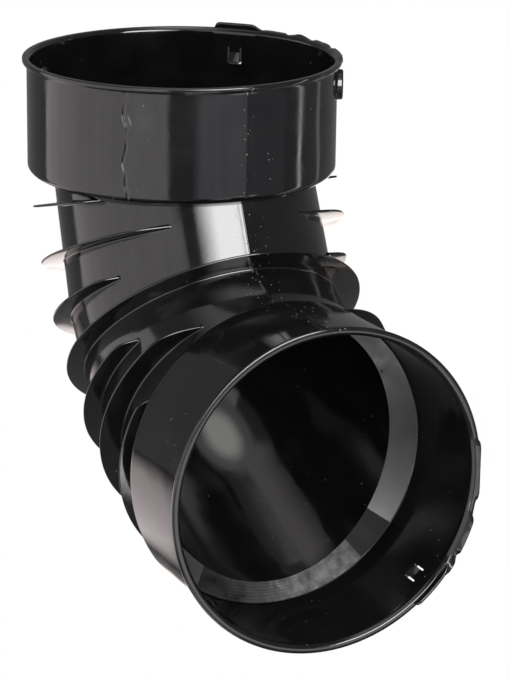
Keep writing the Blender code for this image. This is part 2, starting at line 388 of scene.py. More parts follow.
class Moulding:
    """The hollow body: two lipped sockets, their shoulders and seats, and the bent tube."""

    COLUMNS = 288
    COLUMN_DIGITS = 5  # two columns are one where these digits of their angles agree
    TUBE_RINGS = 10
    ARC_RINGS = 10
    WALL_RINGS = 44
    SHOULDER_STEPS = 7
    SEAT_ROUND_STEPS = 4
    SEARCH_STEPS = 40
    SEARCH_START = 0.6  # share of the tube's radius that lies inside every slope
    SHARP_FROM = 32.0

    SEAM_HEIGHT = 0.28 * MM
    SEAM_WIDTH = 0.45 * MM
    SEAM_COLUMNS = (0.5, 1.0, 2.0)  # places of extra columns beside the parting line, in its widths

    EDGE_STEP = 0.12 * MM  # half the width of the step at an insert's edge
    PANEL_ANGLE = math.radians(135.0)
    PANEL_WIDTH = 28.0 * MM  # mould insert round the clip under the rim tab
    PANEL_STEP = 0.3 * MM
    PANEL_DEPTHS = (5.0 * MM, 12.0 * MM, 19.0 * MM, 26.0 * MM)
    PANEL_END = 26.4 * MM
    WALL_DEPTH = 34.0 * MM  # first of the rings between the panel and the seat
    LOWER_WALL_RINGS = 3

    # The knit line, where the melt fronts met in the inlet's wall, deeper than it is so that it shows
    KNIT_ANGLE = math.radians(316.0)
    KNIT_DEPTH = 0.6 * MM
    KNIT_WIDTH = 1.0 * MM
    KNIT_SPAN = (-4.0, 4.5)  # where its columns are, in millimetres
    KNIT_COLUMNS = 25
    KNIT_WAVES = ((0.9, 0.19, 0.6), (0.5, 0.47, 0.0))  # reach in mm, turn for each mm down, and start
    KNIT_SWELL = (0.2, 0.31, 1.0)  # share of its depth that varies, turn for each mm, and start
    KNIT_FADE = 3.0  # millimetres below the rim at which it starts, and over which it grows
    KNIT_RIDGE = (0.5, 1.5)  # height and offset of the ridge beside it, in its depths and widths

    LIP_ROUND = 0.8 * MM
    LIP_TURNS = (0.0, 22.5, 45.0, 67.5, 90.0)
    LIP_FOOT = ((0.10 * MM, 0.0), (1.3 * MM, 0.25 * MM))  # out from the wall, up from the underside
    LIP_CORNER = ((0.45 * MM, 0.75 * MM), (0.08 * MM, 1.35 * MM))  # in from the edge, up from the underside
    LIP_GAP = 0.3 * MM  # between the lip and the first ring of the wall
    LIP_WEAR = 0.35 * MM
    LIP_WEAR_RAMP = 3.0
    COARSE_WAVES = (61.0, 1.3, 17.0)  # waves round the lip, how far they wander and how often
    FINE_WAVES = (143.0, 2.0)  # waves round the lip, and their start
    UNEVEN = (0.5, 0.3, 0.2)  # middle of the unevenness, and its coarse and fine reach
    LEAST_SINE = 0.5  # no lump gets more room than where the sine of its angle is this
    LUMP_LIFT = (0.75, 0.25)  # steady and uneven share of a lump's rise
    LUMP_INSIDE = 0.35  # share of a lump's rise at the mouth
    LUMPS = {
        Arm.INLET: (Lump(112.5, 125.0, 1.5, 0.9 * MM, 0.5 * MM), Lump(99.5, 112.0, 5.5, 2.0 * MM, 0.3 * MM),
                    Lump(84.0, 98.5, 2.5, 1.2 * MM, 0.3 * MM), Lump(61.0, 83.0, 3.0, 0.9 * MM, 0.6 * MM)),
        Arm.OUTLET: (Lump(79.0, 101.0, 1.2, 0.5 * MM, 1.0 * MM), Lump(106.0, 122.0, 2.0, 1.6 * MM, 1.5 * MM),
                     Lump(121.0, 131.0, 3.0, 2.2 * MM, 1.5 * MM)),
    }
    MOUTH_ROUND = 1.0 * MM
    MOUTH_TURNS = (0.0, 15.0, 30.0, 45.0)
    # Out from the inner wall, and up from the foot of the lead-in
    LEAD_IN = ((0.35 * MM, 0.35 * MM), (0.08 * MM, -0.1 * MM), (0.0, -0.6 * MM))

    SEAT_STEP = 0.35 * MM  # the last sector of the seat stands up, as on a mould insert
    # The first sector wears painted shade, a darker and barely reflective copy of the turned finish; the second has
    # turning streaks
    SEAT_SECTORS = ((125.0, 142.0, Skin.PAINTED_SHADE), (142.0, 215.0, Skin.STREAKED))
    SEAT_RINGS = ((0.005, 1.0), (0.5, 1.0), (0.995, 1.0), (1.0, 0.0))  # way to the bore, share of the step

    def __init__(self, sizes: ElbowSizes) -> None:
        """Keep the sizes that the body is built from."""
        self.sizes = sizes

    def _angles(self) -> np.ndarray:
        """Angles of the columns round a socket: even, and closer where something fine is shaped.

        Returns:
            The angles in radians, in order.
        """
        s = self.sizes
        even = np.linspace(0.0, math.tau, self.COLUMNS, endpoint=False)
        seam = np.array(self.SEAM_COLUMNS) * self.SEAM_WIDTH / s.socket_outer
        extra = [centre + side * place for centre in (0.0, math.pi) for side in (-1, 1) for place in seam]
        half = 0.5 * self.PANEL_WIDTH / s.socket_inner
        step = self.EDGE_STEP / s.socket_inner
        edges = [self.PANEL_ANGLE - half, self.PANEL_ANGLE + half]
        edges += [math.radians(edge) for low, high, _ in self.SEAT_SECTORS for edge in (low, high)]
        extra += [edge + side * step for edge in edges for side in (-1, 1)]
        knit = self.KNIT_ANGLE + np.linspace(*self.KNIT_SPAN, self.KNIT_COLUMNS) * MM / s.socket_outer
        angles = np.mod(np.concatenate([even, extra, knit]), math.tau)
        return np.unique(np.round(angles, self.COLUMN_DIGITS))

    def _knit(self, angles: np.ndarray, ring: np.ndarray) -> np.ndarray:
        """Height of the wavy knit line, a groove with a ridge beside it, at a ring of the inlet's wall.

        Args:
            angles: Angles of the ring's points.
            ring: The points.

        Returns:
            The height for each point in metres.
        """
        height = ring[..., 2] / MM
        wander = sum(reach * np.sin(height * turn + start) for reach, turn, start in self.KNIT_WAVES)
        arc = (angles - self.KNIT_ANGLE) * self.sizes.socket_outer - wander * MM
        share, turn, start = self.KNIT_SWELL
        swell = 1.0 - share + share * np.sin(height * turn + start)
        fade = np.clip((-self.KNIT_FADE - height) / self.KNIT_FADE, 0.0, 1.0) * swell
        rise, offset = self.KNIT_RIDGE
        groove = -np.exp(-(arc / self.KNIT_WIDTH) ** 2)
        ridge = rise * np.exp(-((arc - offset * self.KNIT_WIDTH) / self.KNIT_WIDTH) ** 2)
        return self.KNIT_DEPTH * fade * (groove + ridge)

    def _seam(self, points: np.ndarray) -> np.ndarray:
        """Height of the parting line at points on the outside."""
        return self.SEAM_HEIGHT * np.exp(-(points[..., 1] / self.SEAM_WIDTH) ** 2)

    def _slope_depth(self, radius: np.ndarray | float, offset: float) -> np.ndarray | float:
        """Depth of the sloping seat, or of the shoulder that lies outside it.

        Args:
            radius: Distance from the socket's axis.
            offset: 0 for the seat, the wall for the shoulder.

        Returns:
            Depth below the mouth.
        """
        s = self.sizes
        run = (s.socket_inner - radius) * math.tan(s.shoulder_slope)
        return s.socket_depth + run + offset / math.cos(s.shoulder_slope)

    def _corner_arc(self, radius: float, offset: float, fillet: float, steps: int) -> list[tuple[float, float]]:
        """Points round the corner between the upright wall and the slope.

        Args:
            radius: Radius of the wall.
            offset: 0 for the seat, the wall for the shoulder.
            fillet: Radius of the corner.
            steps: Steps round the corner.

        Returns:
            Radius and height of each point.
        """
        turn = math.pi / 2 - self.sizes.shoulder_slope
        level = fillet * math.tan(turn / 2) - self._slope_depth(radius, offset)
        points = []
        for i in range(steps + 1):
            a = -turn * i / steps
            points.append((radius - fillet + fillet * math.cos(a), level + fillet * math.sin(a)))
        return points

    def _ring(self, angles: np.ndarray, radius: np.ndarray | float, height: np.ndarray | float) -> np.ndarray:
        """A ring of points round the socket axis.

        Args:
            angles: Angles of the points.
            radius: Their radius, or one for each point.
            height: Their height, or one for each point.

        Returns:
            The points.
        """
        radius = np.broadcast_to(radius, angles.shape)
        height = np.broadcast_to(height, angles.shape)
        return np.stack([radius * np.cos(angles), radius * np.sin(angles), height], axis=-1)

    def _tube_radius(self, along: np.ndarray, inset: float) -> np.ndarray:
        """Radius of the tapered tube at a distance along the arm."""
        return self.sizes.tube_at_socket + self.sizes.taper * along - inset

    def _meeting(self, angles: np.ndarray, offset: float, inset: float) -> np.ndarray:
        """Where the slope meets the tube, along each column.

        Args:
            angles: Column angles round the socket axis.
            offset: 0 for the seat, the wall for the shoulder.
            inset: The wall for the bore, 0 for the outside of the tube.

        Returns:
            One point for each column.
        """
        s = self.sizes
        low = np.full(angles.shape, self.SEARCH_START * s.tube_at_socket)
        high = np.full(angles.shape, s.socket_inner)
        for _ in range(self.SEARCH_STEPS):
            middle = 0.5 * (low + high)
            rel = self._ring(angles, middle, -self._slope_depth(middle, offset)) - s.bend_start
            along = rel @ s.arm_axis
            across = np.linalg.norm(rel - along[:, None] * s.arm_axis, axis=1)
            outside = across > self._tube_radius(along, inset)
            high = np.where(outside, middle, high)
            low = np.where(outside, low, middle)
        return self._ring(angles, high, -self._slope_depth(high, offset))

    def _tube(self, start: np.ndarray, inset: float, seamed: bool) -> list[np.ndarray]:
        """Rings down the tube to the mirror plane, first straight and then round the arc.

        Args:
            start: The ring where the tube meets the slope.
            inset: The wall for the bore, 0 for the outside of the tube.
            seamed: Whether the parting line is on it.

        Returns:
            The rings after the first.
        """
        s = self.sizes
        rel = start - s.bend_start
        phi = np.arctan2(rel[:, 1], rel @ throatward(s.arm_lean))[:, None]
        first = rel @ s.arm_axis
        sideways = np.array([0.0, 1.0, 0.0])
        places = []
        for i in range(1, self.TUBE_RINGS + 1):
            along = first + (s.straight - first) * i / self.TUBE_RINGS
            centre = s.bend_start + along[:, None] * s.arm_axis
            places.append((centre, self._tube_radius(along, inset)[:, None], s.arm_lean))
        for i in range(1, self.ARC_RINGS + 1):
            lean = s.arm_lean + (s.middle_lean - s.arm_lean) * i / self.ARC_RINGS
            centre = s.arc_centre - throatward(lean) * s.middle_bend_radius
            places.append((centre, s.tube_at_middle - inset, lean))
        rings = []
        for centre, radius, lean in places:
            outwards = np.cos(phi) * throatward(lean) + np.sin(phi) * sideways
            ring = centre + radius * outwards
            rings.append(ring + outwards * self._seam(ring)[:, None] if seamed else ring)
        return rings

    def _outside(self, angles: np.ndarray, foot: np.ndarray, arm: Arm) -> list[np.ndarray]:
        """Rings up the outside of a socket, from the tube over the shoulder to the lip.

        Args:
            angles: Column angles.
            foot: The ring where the shoulder meets the tube.
            arm: Whose socket it is.

        Returns:
            The rings, with the parting line and the inlet's knit line on them.
        """
        s = self.sizes
        corner = self._corner_arc(s.socket_outer, s.wall, s.shoulder_round, self.SHOULDER_STEPS)
        end = self._ring(angles, *corner[-1])
        rings = [foot, foot + (end - foot) * 0.5]
        rings += [self._ring(angles, radius, height) for radius, height in reversed(corner)]
        heights = np.linspace(corner[0][1], -s.lip_height - self.LIP_GAP, self.WALL_RINGS)[1:]
        rings += [self._ring(angles, s.socket_outer, height) for height in heights]
        outwards = self._ring(angles, 1.0, 0.0)
        for k, ring in enumerate(rings):
            raised = self._seam(ring)
            if arm is Arm.INLET:
                raised = raised + self._knit(angles, ring)
            rings[k] = ring + outwards * raised[:, None]
        return rings

    def _lip_lumps(self, angles: np.ndarray, arm: Arm) -> tuple[np.ndarray, np.ndarray]:
        """The uneven stretch of a lip, kept within the elbow's box.

        Args:
            angles: Column angles.
            arm: Whose lip it is.

        Returns:
            How far the lip rises, and its outside radius.
        """
        rise = np.zeros_like(angles)
        reach = np.zeros_like(angles)
        for lump in self.LUMPS[arm]:
            shape = lump.shape(angles)
            rise = np.maximum(rise, lump.rise * shape)
            reach = np.maximum(reach, lump.reach * shape)
        count, wander, turns = self.COARSE_WAVES
        coarse = np.sin(angles * count + wander * np.sin(angles * turns))
        count, start = self.FINE_WAVES
        fine = np.sin(angles * count + start)
        middle, coarse_share, fine_share = self.UNEVEN
        uneven = middle + coarse_share * coarse + fine_share * fine
        low = min(lump.low for lump in self.LUMPS[arm])
        high = max(lump.high for lump in self.LUMPS[arm])
        worn = Lump(low, high, self.LIP_WEAR_RAMP, 0.0, 0.0).shape(angles)
        radius = self.sizes.lip + reach - self.LIP_WEAR * worn * uneven
        # A lump may pass the round lip only where the box, as wide as the lip, leaves room for it
        limit = self.sizes.lip / np.maximum(np.abs(np.sin(angles)), self.LEAST_SINE)
        limit = np.where(reach > 0.0, limit, self.sizes.lip)
        steady, varying = self.LUMP_LIFT
        return rise * (steady + varying * uneven), np.minimum(radius, limit)

    def _lip(self, angles: np.ndarray, rise: np.ndarray, edge: np.ndarray) -> list[np.ndarray]:
        """Rings round the lip, from the wall under it to its end face.

        Args:
            angles: Column angles.
            rise: How far the lip rises at each column.
            edge: Its outside radius at each column.

        Returns:
            The rings.
        """
        s = self.sizes
        rings = [self._ring(angles, s.socket_outer + out, -s.lip_height + up) for out, up in self.LIP_FOOT]
        rings += [self._ring(angles, edge - inwards, -s.lip_height + up) for inwards, up in self.LIP_CORNER]
        for turn in np.radians(self.LIP_TURNS):
            radius = edge - self.LIP_ROUND * (1.0 - math.cos(turn))
            rings.append(self._ring(angles, radius, rise - self.LIP_ROUND * (1.0 - math.sin(turn))))
        return rings

    def _inside(self, angles: np.ndarray, rise: np.ndarray) -> list[np.ndarray]:
        """Rings down the inside of a socket, from the mouth past the insert panel to the seat.

        Args:
            angles: Column angles.
            rise: How far the lip rises at each column.

        Returns:
            The rings.
        """
        s = self.sizes
        rings = []
        start = s.mouth + self.MOUTH_ROUND * math.tan(math.pi / 8)
        for turn in np.radians(self.MOUTH_TURNS):
            height = self.LUMP_INSIDE * rise - self.MOUTH_ROUND * (1.0 - math.cos(turn))
            rings.append(self._ring(angles, start - self.MOUTH_ROUND * math.sin(turn), height))
        rings += [self._ring(angles, s.socket_inner + out, -s.lead_in + up) for out, up in self.LEAD_IN]
        half = 0.5 * self.PANEL_WIDTH / s.socket_inner
        panel = np.where(np.abs(angles - self.PANEL_ANGLE) < half, self.PANEL_STEP, 0.0)
        rings += [self._ring(angles, s.socket_inner - panel, -depth) for depth in self.PANEL_DEPTHS]
        rings.append(self._ring(angles, s.socket_inner, -self.PANEL_END))
        corner = self._corner_arc(s.socket_inner, 0.0, s.seat_round, self.SEAT_ROUND_STEPS)
        heights = np.linspace(-self.WALL_DEPTH, corner[0][1], self.LOWER_WALL_RINGS + 1)[:-1]
        rings += [self._ring(angles, s.socket_inner, height) for height in heights]
        rings += [self._ring(angles, radius, height) for radius, height in corner]
        return rings

    def _seat(self, angles: np.ndarray, wall: np.ndarray, bore: np.ndarray) -> list[np.ndarray]:
        """Rings across the seat, whose last sector stands up.

        Args:
            angles: Column angles.
            wall: The ring at the foot of the wall.
            bore: The ring where the seat meets the bore.

        Returns:
            The rings after the wall's.
        """
        low, high, _ = self.SEAT_SECTORS[-1]
        insert = np.where((np.degrees(angles) > low) & (np.degrees(angles) < high), self.SEAT_STEP, 0.0)
        upwards = insert[:, None] * np.array([0.0, 0.0, 1.0])
        return [wall + (bore - wall) * way + upwards * share for way, share in self.SEAT_RINGS]

    def _arm_rings(self, angles: np.ndarray, arm: Arm) -> tuple[list[np.ndarray], int, int]:
        """Rings of one arm, from the mirror plane up the outside and down the inside.

        Args:
            angles: Column angles.
            arm: Which arm, for its own wear.

        Returns:
            The rings, and the first and last ring of the seat.
        """
        s = self.sizes
        foot = self._meeting(angles, s.wall, 0.0)
        bore = self._meeting(angles, 0.0, s.wall)
        rise, edge = self._lip_lumps(angles, arm)
        rings = self._tube(foot, 0.0, True)[::-1]
        rings += self._outside(angles, foot, arm)
        rings += self._lip(angles, rise, edge)
        rings += self._inside(angles, rise)
        seat = self._seat(angles, rings[-1], bore)
        seat_first = len(rings) - 1
        rings += seat
        seat_last = len(rings) - 1
        rings += self._tube(bore, s.wall, False)
        return rings, seat_first, seat_last

    def _seat_skin(self, angle: float) -> Skin:
        """Finish of the seat at an angle round the socket.

        Args:
            angle: The angle in radians.

        Returns:
            The finish.
        """
        for low, high, skin in self.SEAT_SECTORS:
            if low <= math.degrees(angle) < high:
                return skin
        return Skin.SATIN

    def build(self) -> bpy.types.Object:
        """Build both arms as one closed body.

        Returns:
            The body, with the finish of each face in the order of Skin.
        """
        verts: list[np.ndarray] = []
        faces: list[list[int]] = []
        skins: list[int] = []
        angles = self._angles()
        gloss = [Skin.GLOSS.value] * len(angles)
        seat = [self._seat_skin(angle).value for angle in angles]
        for arm in Arm:
            rings, seat_first, seat_last = self._arm_rings(angles, arm)
            strips = ring_faces(len(rings), len(angles), sum(len(v) for v in verts))
            grid = np.concatenate(rings)
            if arm is Arm.OUTLET:
                grid = to_outlet(grid)
                strips = [face[::-1] for face in strips]
            verts.append(grid)
            faces += strips
            for k in range(len(rings) - 1):
                skins += seat if seat_first <= k < seat_last else gloss
        return object_from("moulding", np.concatenate(verts), faces, skins)


@dataclass(frozen=True)
class FinSizes:
    """One fin: its place along the arm, its lean and its outline."""

    name: str
    along: float
    lean: float
    radius: float
    throat_cut: float


class Fins:
    """Seven thin fins: three fanned out on each arm and one in the mirror plane."""

    THICKNESS = 1.3 * MM
    EDGE = 0.45 * MM
    ROOT_FILLET = 1.1 * MM
    SINK = 1.2 * MM
    SEGMENTS = 540
    CORNER_BLEND = 26.0 * MM
    MIDDLE_RADIUS = 90.0 * MM
    MIDDLE_SHIFT = 12.1 * MM
    NO_CUT = 1.0  # a cut this far out leaves the fin whole
    LEAST_COSINE = 0.0001  # keeps the chord finite where a ray runs along it
    SHARP_FROM = 50.0
    ARM = (
        FinSizes("fin_first", 15.6 * MM, math.radians(15.0), 90.9 * MM, 38.5 * MM),
        FinSizes("fin_second", 44.9 * MM, math.radians(24.3), 90.9 * MM, 66.7 * MM),
        FinSizes("fin_third", 74.2 * MM, math.radians(33.6), 89.0 * MM, 43.5 * MM),
    )
    SIZE_INPUTS = ("Radius", "Thickness", "Edge", "Throat Cut", "Corner Blend", "Root Long", "Root Short",
                   "Root Shift", "Fillet", "Sink")
    OTHER_INPUTS = {"Segments": "NodeSocketInt", "Place": "NodeSocketVector", "Turn": "NodeSocketRotation",
                    "Finish": "NodeSocketMaterial"}
    # The section, from the root on one side round the edge to the root on the other: the first
    # points in shares of the sink or the fillet, and of the fillet beside half the thickness
    ROOT_PARTS = ((-1.0, 1.0), (0.0, 1.0), (0.12, 0.45), (0.45, 0.12), (1.0, 0.0))
    # and the last ones in shares of the edge's round, and of half the thickness
    EDGE_PARTS = ((1.0, 1.0), (0.42, 0.78), (0.0, 0.0))

    def __init__(self, sizes: ElbowSizes) -> None:
        """Keep the sizes that the fins stand on."""
        self.sizes = sizes

    @property
    def section(self) -> int:
        """Number of points in a fin's section, of which the outermost is shared by its two sides."""
        return 2 * (len(self.ROOT_PARTS) + len(self.EDGE_PARTS)) - 1

    def _ray_steps(self) -> list[tuple[Any, ...]]:
        """Sums that find each point's column and row, and the root and tip of the fin at its angle.

        Returns:
            Name, operation and operands of each sum.
        """
        return [
            ("slot", "ADD", "index", 0.5),
            ("slots", "DIVIDE", "slot", float(self.section)),
            ("column", "FLOOR", "slots"),
            ("before", "MULTIPLY", "column", float(self.section)),
            ("row", "SUBTRACT", "index", "before"),
            ("last column", "SUBTRACT", "Segments", 1.0),
            ("share", "DIVIDE", "column", "last column"),
            ("angle", "MULTIPLY", "share", math.tau),
            ("cos", "COSINE", "angle"),
            ("sin", "SINE", "angle"),
            # Ray from the fin's centre to the tube's ellipse, whose centre lies Root Shift along X
            ("long squared", "MULTIPLY", "Root Long", "Root Long"),
            ("short squared", "MULTIPLY", "Root Short", "Root Short"),
            ("cos squared", "MULTIPLY", "cos", "cos"),
            ("sin squared", "MULTIPLY", "sin", "sin"),
            ("a along", "DIVIDE", "cos squared", "long squared"),
            ("a across", "DIVIDE", "sin squared", "short squared"),
            ("a", "ADD", "a along", "a across"),
            ("shifted", "MULTIPLY", "cos", "Root Shift"),
            ("b", "DIVIDE", "shifted", "long squared"),
            ("shift squared", "MULTIPLY", "Root Shift", "Root Shift"),
            ("shift share", "DIVIDE", "shift squared", "long squared"),
            ("c", "SUBTRACT", "shift share", 1.0),
            ("b squared", "MULTIPLY", "b", "b"),
            ("a times c", "MULTIPLY", "a", "c"),
            ("spread squared", "SUBTRACT", "b squared", "a times c"),
            ("spread", "SQRT", "spread squared"),
            ("far side", "ADD", "b", "spread"),
            ("root", "DIVIDE", "far side", "a"),
            # Outline: the arc, cut by a chord on the throat side, with the corner blended
            ("forward", "MAXIMUM", "cos", self.LEAST_COSINE),
            ("chord", "DIVIDE", "Throat Cut", "forward"),
            ("outline", "SMOOTH_MIN", "Radius", "chord", "Corner Blend"),
            ("sunk root", "SUBTRACT", "root", "Sink"),
            ("tip", "MAXIMUM", "outline", "sunk root"),
            ("buried", "LESS_THAN", "outline", "root"),
            ("half", "MULTIPLY", "Thickness", 0.5),
        ]

    def _section_steps(self) -> list[tuple[Any, ...]]:
        """Sums that find the radius and height of each point of the section.

        Returns:
            Name, operation and operands of each sum. The results are named radius or height and a
            row, and rows past the middle have a height alone.
        """
        steps: list[tuple[Any, ...]] = []
        for i, (part, side) in enumerate(self.ROOT_PARTS):
            steps += [
                (f"reach {i}", "MULTIPLY", "Sink" if part < 0 else "Fillet", part),
                (f"free {i}", "ADD", "root", f"reach {i}"),
                (f"radius {i}", "MINIMUM", f"free {i}", "tip"),
                (f"foot {i}", "MULTIPLY", "Fillet", side),
                (f"height {i}", "ADD", "half", f"foot {i}"),
            ]
        for i, (back, up) in enumerate(self.EDGE_PARTS, len(self.ROOT_PARTS)):
            steps += [
                (f"back {i}", "MULTIPLY", "Edge", back),
                (f"free {i}", "SUBTRACT", "tip", f"back {i}"),
                (f"radius {i}", "MAXIMUM", f"free {i}", "sunk root"),
                (f"height {i}", "MULTIPLY", "half", up),
            ]
        last = self.section - 1
        steps += [(f"height {last - i}", "MULTIPLY", f"height {i}", -1.0) for i in range(last // 2)]
        return steps

    def _tree(self) -> bpy.types.GeometryNodeTree:
        """Geometry Nodes tree that bends a flat grid into one fin round the tube.

        Returns:
            The tree. Its inputs are the outline, the root's ellipse and the fin's place.
        """
        tree = bpy.data.node_groups.new("fin_round_a_tube", "GeometryNodeTree")
        labels = dict.fromkeys(self.SIZE_INPUTS, "NodeSocketFloat") | self.OTHER_INPUTS
        for label, kind in labels.items():
            tree.interface.new_socket(label, in_out="INPUT", socket_type=kind)
        tree.interface.new_socket("Geometry", in_out="OUTPUT", socket_type="NodeSocketGeometry")
        given = add_node(tree, "NodeGroupInput").outputs
        known: dict[Any, Any] = {label: given[label] for label in labels}
        known["index"] = add_node(tree, "GeometryNodeInputIndex").outputs[0]
        for name, kind, *operands in self._ray_steps() + self._section_steps():
            inputs = {i: known.get(operand, operand) for i, operand in enumerate(operands)}
            known[name] = add_node(tree, "ShaderNodeMath", {"operation": kind}, inputs).outputs[0]

        last = self.section - 1
        rows = {"radius": [f"radius {min(i, last - i)}" for i in range(self.section)],
                "height": [f"height {i}" for i in range(self.section)]}
        for measure, names in rows.items():
            switch = add_node(tree, "GeometryNodeIndexSwitch", {"data_type": "FLOAT"}, {"Index": known["row"]})
            while len(switch.index_switch_items) < self.section:
                switch.index_switch_items.new()
            for i, name in enumerate(names):
                tree.links.new(known[name], switch.inputs[i + 1])
            known[measure] = switch.outputs[0]
        for name, turn in (("x", "cos"), ("y", "sin")):
            known[name] = add_node(tree, "ShaderNodeMath", {"operation": "MULTIPLY"}, {
                0: known["radius"], 1: known[turn]}).outputs[0]

        grid = add_node(tree, "GeometryNodeMeshGrid", None, {
            "Size X": 1.0, "Size Y": 1.0, "Vertices X": given["Segments"], "Vertices Y": self.section})
        spot = add_node(tree, "ShaderNodeCombineXYZ", None, {
            "X": known["x"], "Y": known["y"], "Z": known["height"]})
        placed = add_node(tree, "GeometryNodeSetPosition", None, {
            "Geometry": grid.outputs["Mesh"], "Position": spot.outputs[0]})
        kept = add_node(tree, "GeometryNodeDeleteGeometry", {"domain": "POINT"}, {
            "Geometry": placed.outputs[0], "Selection": known["buried"]})
        merged = add_node(tree, "GeometryNodeMergeByDistance", None, {
            "Geometry": kept.outputs[0], "Distance": MERGE_DISTANCE})
        moved = add_node(tree, "GeometryNodeTransform", None, {
            "Geometry": merged.outputs[0], "Translation": given["Place"], "Rotation": given["Turn"]})
        real = add_node(tree, "GeometryNodeRealizeInstances", None, {"Geometry": moved.outputs[0]})
        dressed = add_node(tree, "GeometryNodeSetMaterial", None, {
            "Geometry": real.outputs[0], "Material": given["Finish"]})
        add_node(tree, "NodeGroupOutput", None, {"Geometry": dressed.outputs[0]})
        return tree

    def _make(self, tree: bpy.types.GeometryNodeTree, fin: FinSizes, centre: np.ndarray, arm: Arm,
              ellipse: tuple[float, float, float], finish: bpy.types.Material) -> bpy.types.Object:
        """Run the tree for one fin and keep the result as a plain mesh.

        Args:
            tree: The fin tree.
            fin: The fin's outline and lean.
            centre: Its centre on the inlet arm.
            arm: Which arm it stands on.
            ellipse: The tube's half width across and along the bend plane in the fin, and its shift.
            finish: The fin's material.

        Returns:
            The fin.
        """
        inward = throatward(fin.lean)
        if arm is Arm.OUTLET:
            centre = to_outlet(centre)
            inward = inward[::-1]
        x_axis, y_axis = Vector(inward), Vector((0.0, 1.0, 0.0))
        turn = Matrix((x_axis, y_axis, x_axis.cross(y_axis))).transposed().to_euler()
        short, long, shift = ellipse
        values = {
            "Radius": fin.radius, "Thickness": self.THICKNESS, "Edge": self.EDGE,
            "Throat Cut": fin.throat_cut, "Corner Blend": self.CORNER_BLEND,
            "Root Long": long, "Root Short": short, "Root Shift": shift,
            "Fillet": self.ROOT_FILLET, "Sink": self.SINK, "Segments": self.SEGMENTS,
            "Place": Vector(centre), "Turn": turn, "Finish": finish,
        }
        name = fin.name if fin.name == "fin_middle" else f"{fin.name}_{arm.value}"
        obj = bpy.data.objects.new(name, bpy.data.meshes.new(name))
        bpy.context.scene.collection.objects.link(obj)
        modifier = obj.modifiers.new("Fin", "NODES")
        modifier.node_group = tree
        for item in tree.interface.items_tree:
            if item.in_out == "INPUT":
                modifier[item.identifier] = values[item.name]
        settle(obj)
        face_outwards(obj.data, merge=False)
        soften(obj, self.SHARP_FROM)
        return obj

    def build(self, finish: bpy.types.Material) -> list[bpy.types.Object]:
        """Build the seven fins.

        Args:
            finish: The fins' material.

        Returns:
            The fins.
        """
        s = self.sizes
        tree = self._tree()
        made = []
        for arm in Arm:
            for fin in self.ARM:
                centre = s.bend_start + s.arm_axis * fin.along
                radius = s.tube_at_socket + s.taper * min(fin.along, s.straight)
                long = radius / math.cos(fin.lean - s.arm_lean)
                made.append(self._make(tree, fin, centre, arm, (radius, long, 0.0), finish))
        inward = throatward(s.middle_lean)
        axis_point = s.arc_centre - inward * s.middle_bend_radius
        centre = s.corner + inward * self.MIDDLE_SHIFT
        shift = float((axis_point - centre) @ inward)
        middle = FinSizes("fin_middle", 0.0, s.middle_lean, self.MIDDLE_RADIUS, self.NO_CUT)
        ellipse = (s.tube_at_middle, s.tube_at_middle, shift)
        made.append(self._make(tree, middle, centre, Arm.INLET, ellipse, finish))
        return made


@dataclass(frozen=True)
class Clips:
    """Four spring clips: a slot on three sides of a tongue, and a barb inside it."""

    width: float = 7.0 * MM
    length: float = 9.5 * MM
    top: float = 11.0 * MM
    slot: float = 1.0 * MM
    overshoot: float = 5.0 * MM  # how far a cutter passes the wall on both sides
    barb_height: float = 3.6 * MM
    barb_length: float = 6.5 * MM
    barb_step: float = 0.2 * MM
    barb_round: float = 0.35 * MM
    play: float = 0.02 * MM  # between a barb's side and its tongue's
    angles: tuple[float, float] = (math.radians(135.0), math.radians(-135.0))

    def _cutter(self, sizes: ElbowSizes, angle: float, arm: Arm) -> bpy.types.Object:
        """Make the cutter for one slot.

        Args:
            sizes: The elbow's sizes.
            angle: Where the clip is, round the socket.
            arm: Whose socket it is in.

        Returns:
            The cutter.
        """
        half = self.width / 2
        wide = half + self.slot
        root, free = -self.top, -(self.top + self.length)
        end = free - self.slot
        outline = [(-wide, root), (-wide, end), (wide, end), (wide, root),
                   (half, root), (half, free), (-half, free), (-half, root)]
        radii = (sizes.socket_inner - self.overshoot, sizes.socket_outer + self.overshoot)
        verts = np.array([(r, y, z) for r in radii for y, z in outline])
        return object_from("clip_slot", round_socket(verts, angle, arm), prism_faces(len(outline)))

    def cut(self, body: bpy.types.Object, sizes: ElbowSizes) -> None:
        """Cut the four slots through the socket walls.

        Args:
            body: The moulding.
            sizes: The elbow's sizes.
        """
        cutters = [self._cutter(sizes, angle, arm) for arm in Arm for angle in self.angles]
        for cutter in cutters:
            modifier = body.modifiers.new("Slot", "BOOLEAN")
            modifier.operation = "DIFFERENCE"
            modifier.solver = "EXACT"
            modifier.object = cutter
        settle(body)
        for cutter in cutters:
            bpy.data.objects.remove(cutter)

    def barbs(self, sizes: ElbowSizes) -> list[bpy.types.Object]:
        """Build the barb of each clip.

        Args:
            sizes: The elbow's sizes.

        Returns:
            The four barbs.
        """
        half = self.width / 2 - self.play
        free = -(self.top + self.length)
        top = free + self.barb_length
        seat = sizes.socket_inner + 0.5 * sizes.wall
        tip = sizes.socket_inner - self.barb_height
        side = [(seat, top), (sizes.socket_inner - self.barb_step, top),
                (tip, free + self.barb_height / 4), (tip, free), (seat, free)]
        verts = np.array([(r, y, z) for y in (-half, half) for r, z in side])
        made = []
        for arm in Arm:
            for angle, label in zip(self.angles, ("right", "left")):
                name = f"barb_{label}_{arm.value}"
                barb = object_from(name, round_socket(verts, angle, arm), prism_faces(len(side)))
                round_edges(barb, self.barb_round, turn_from=30.0, sharp_from=40.0)
                made.append(barb)
        return made


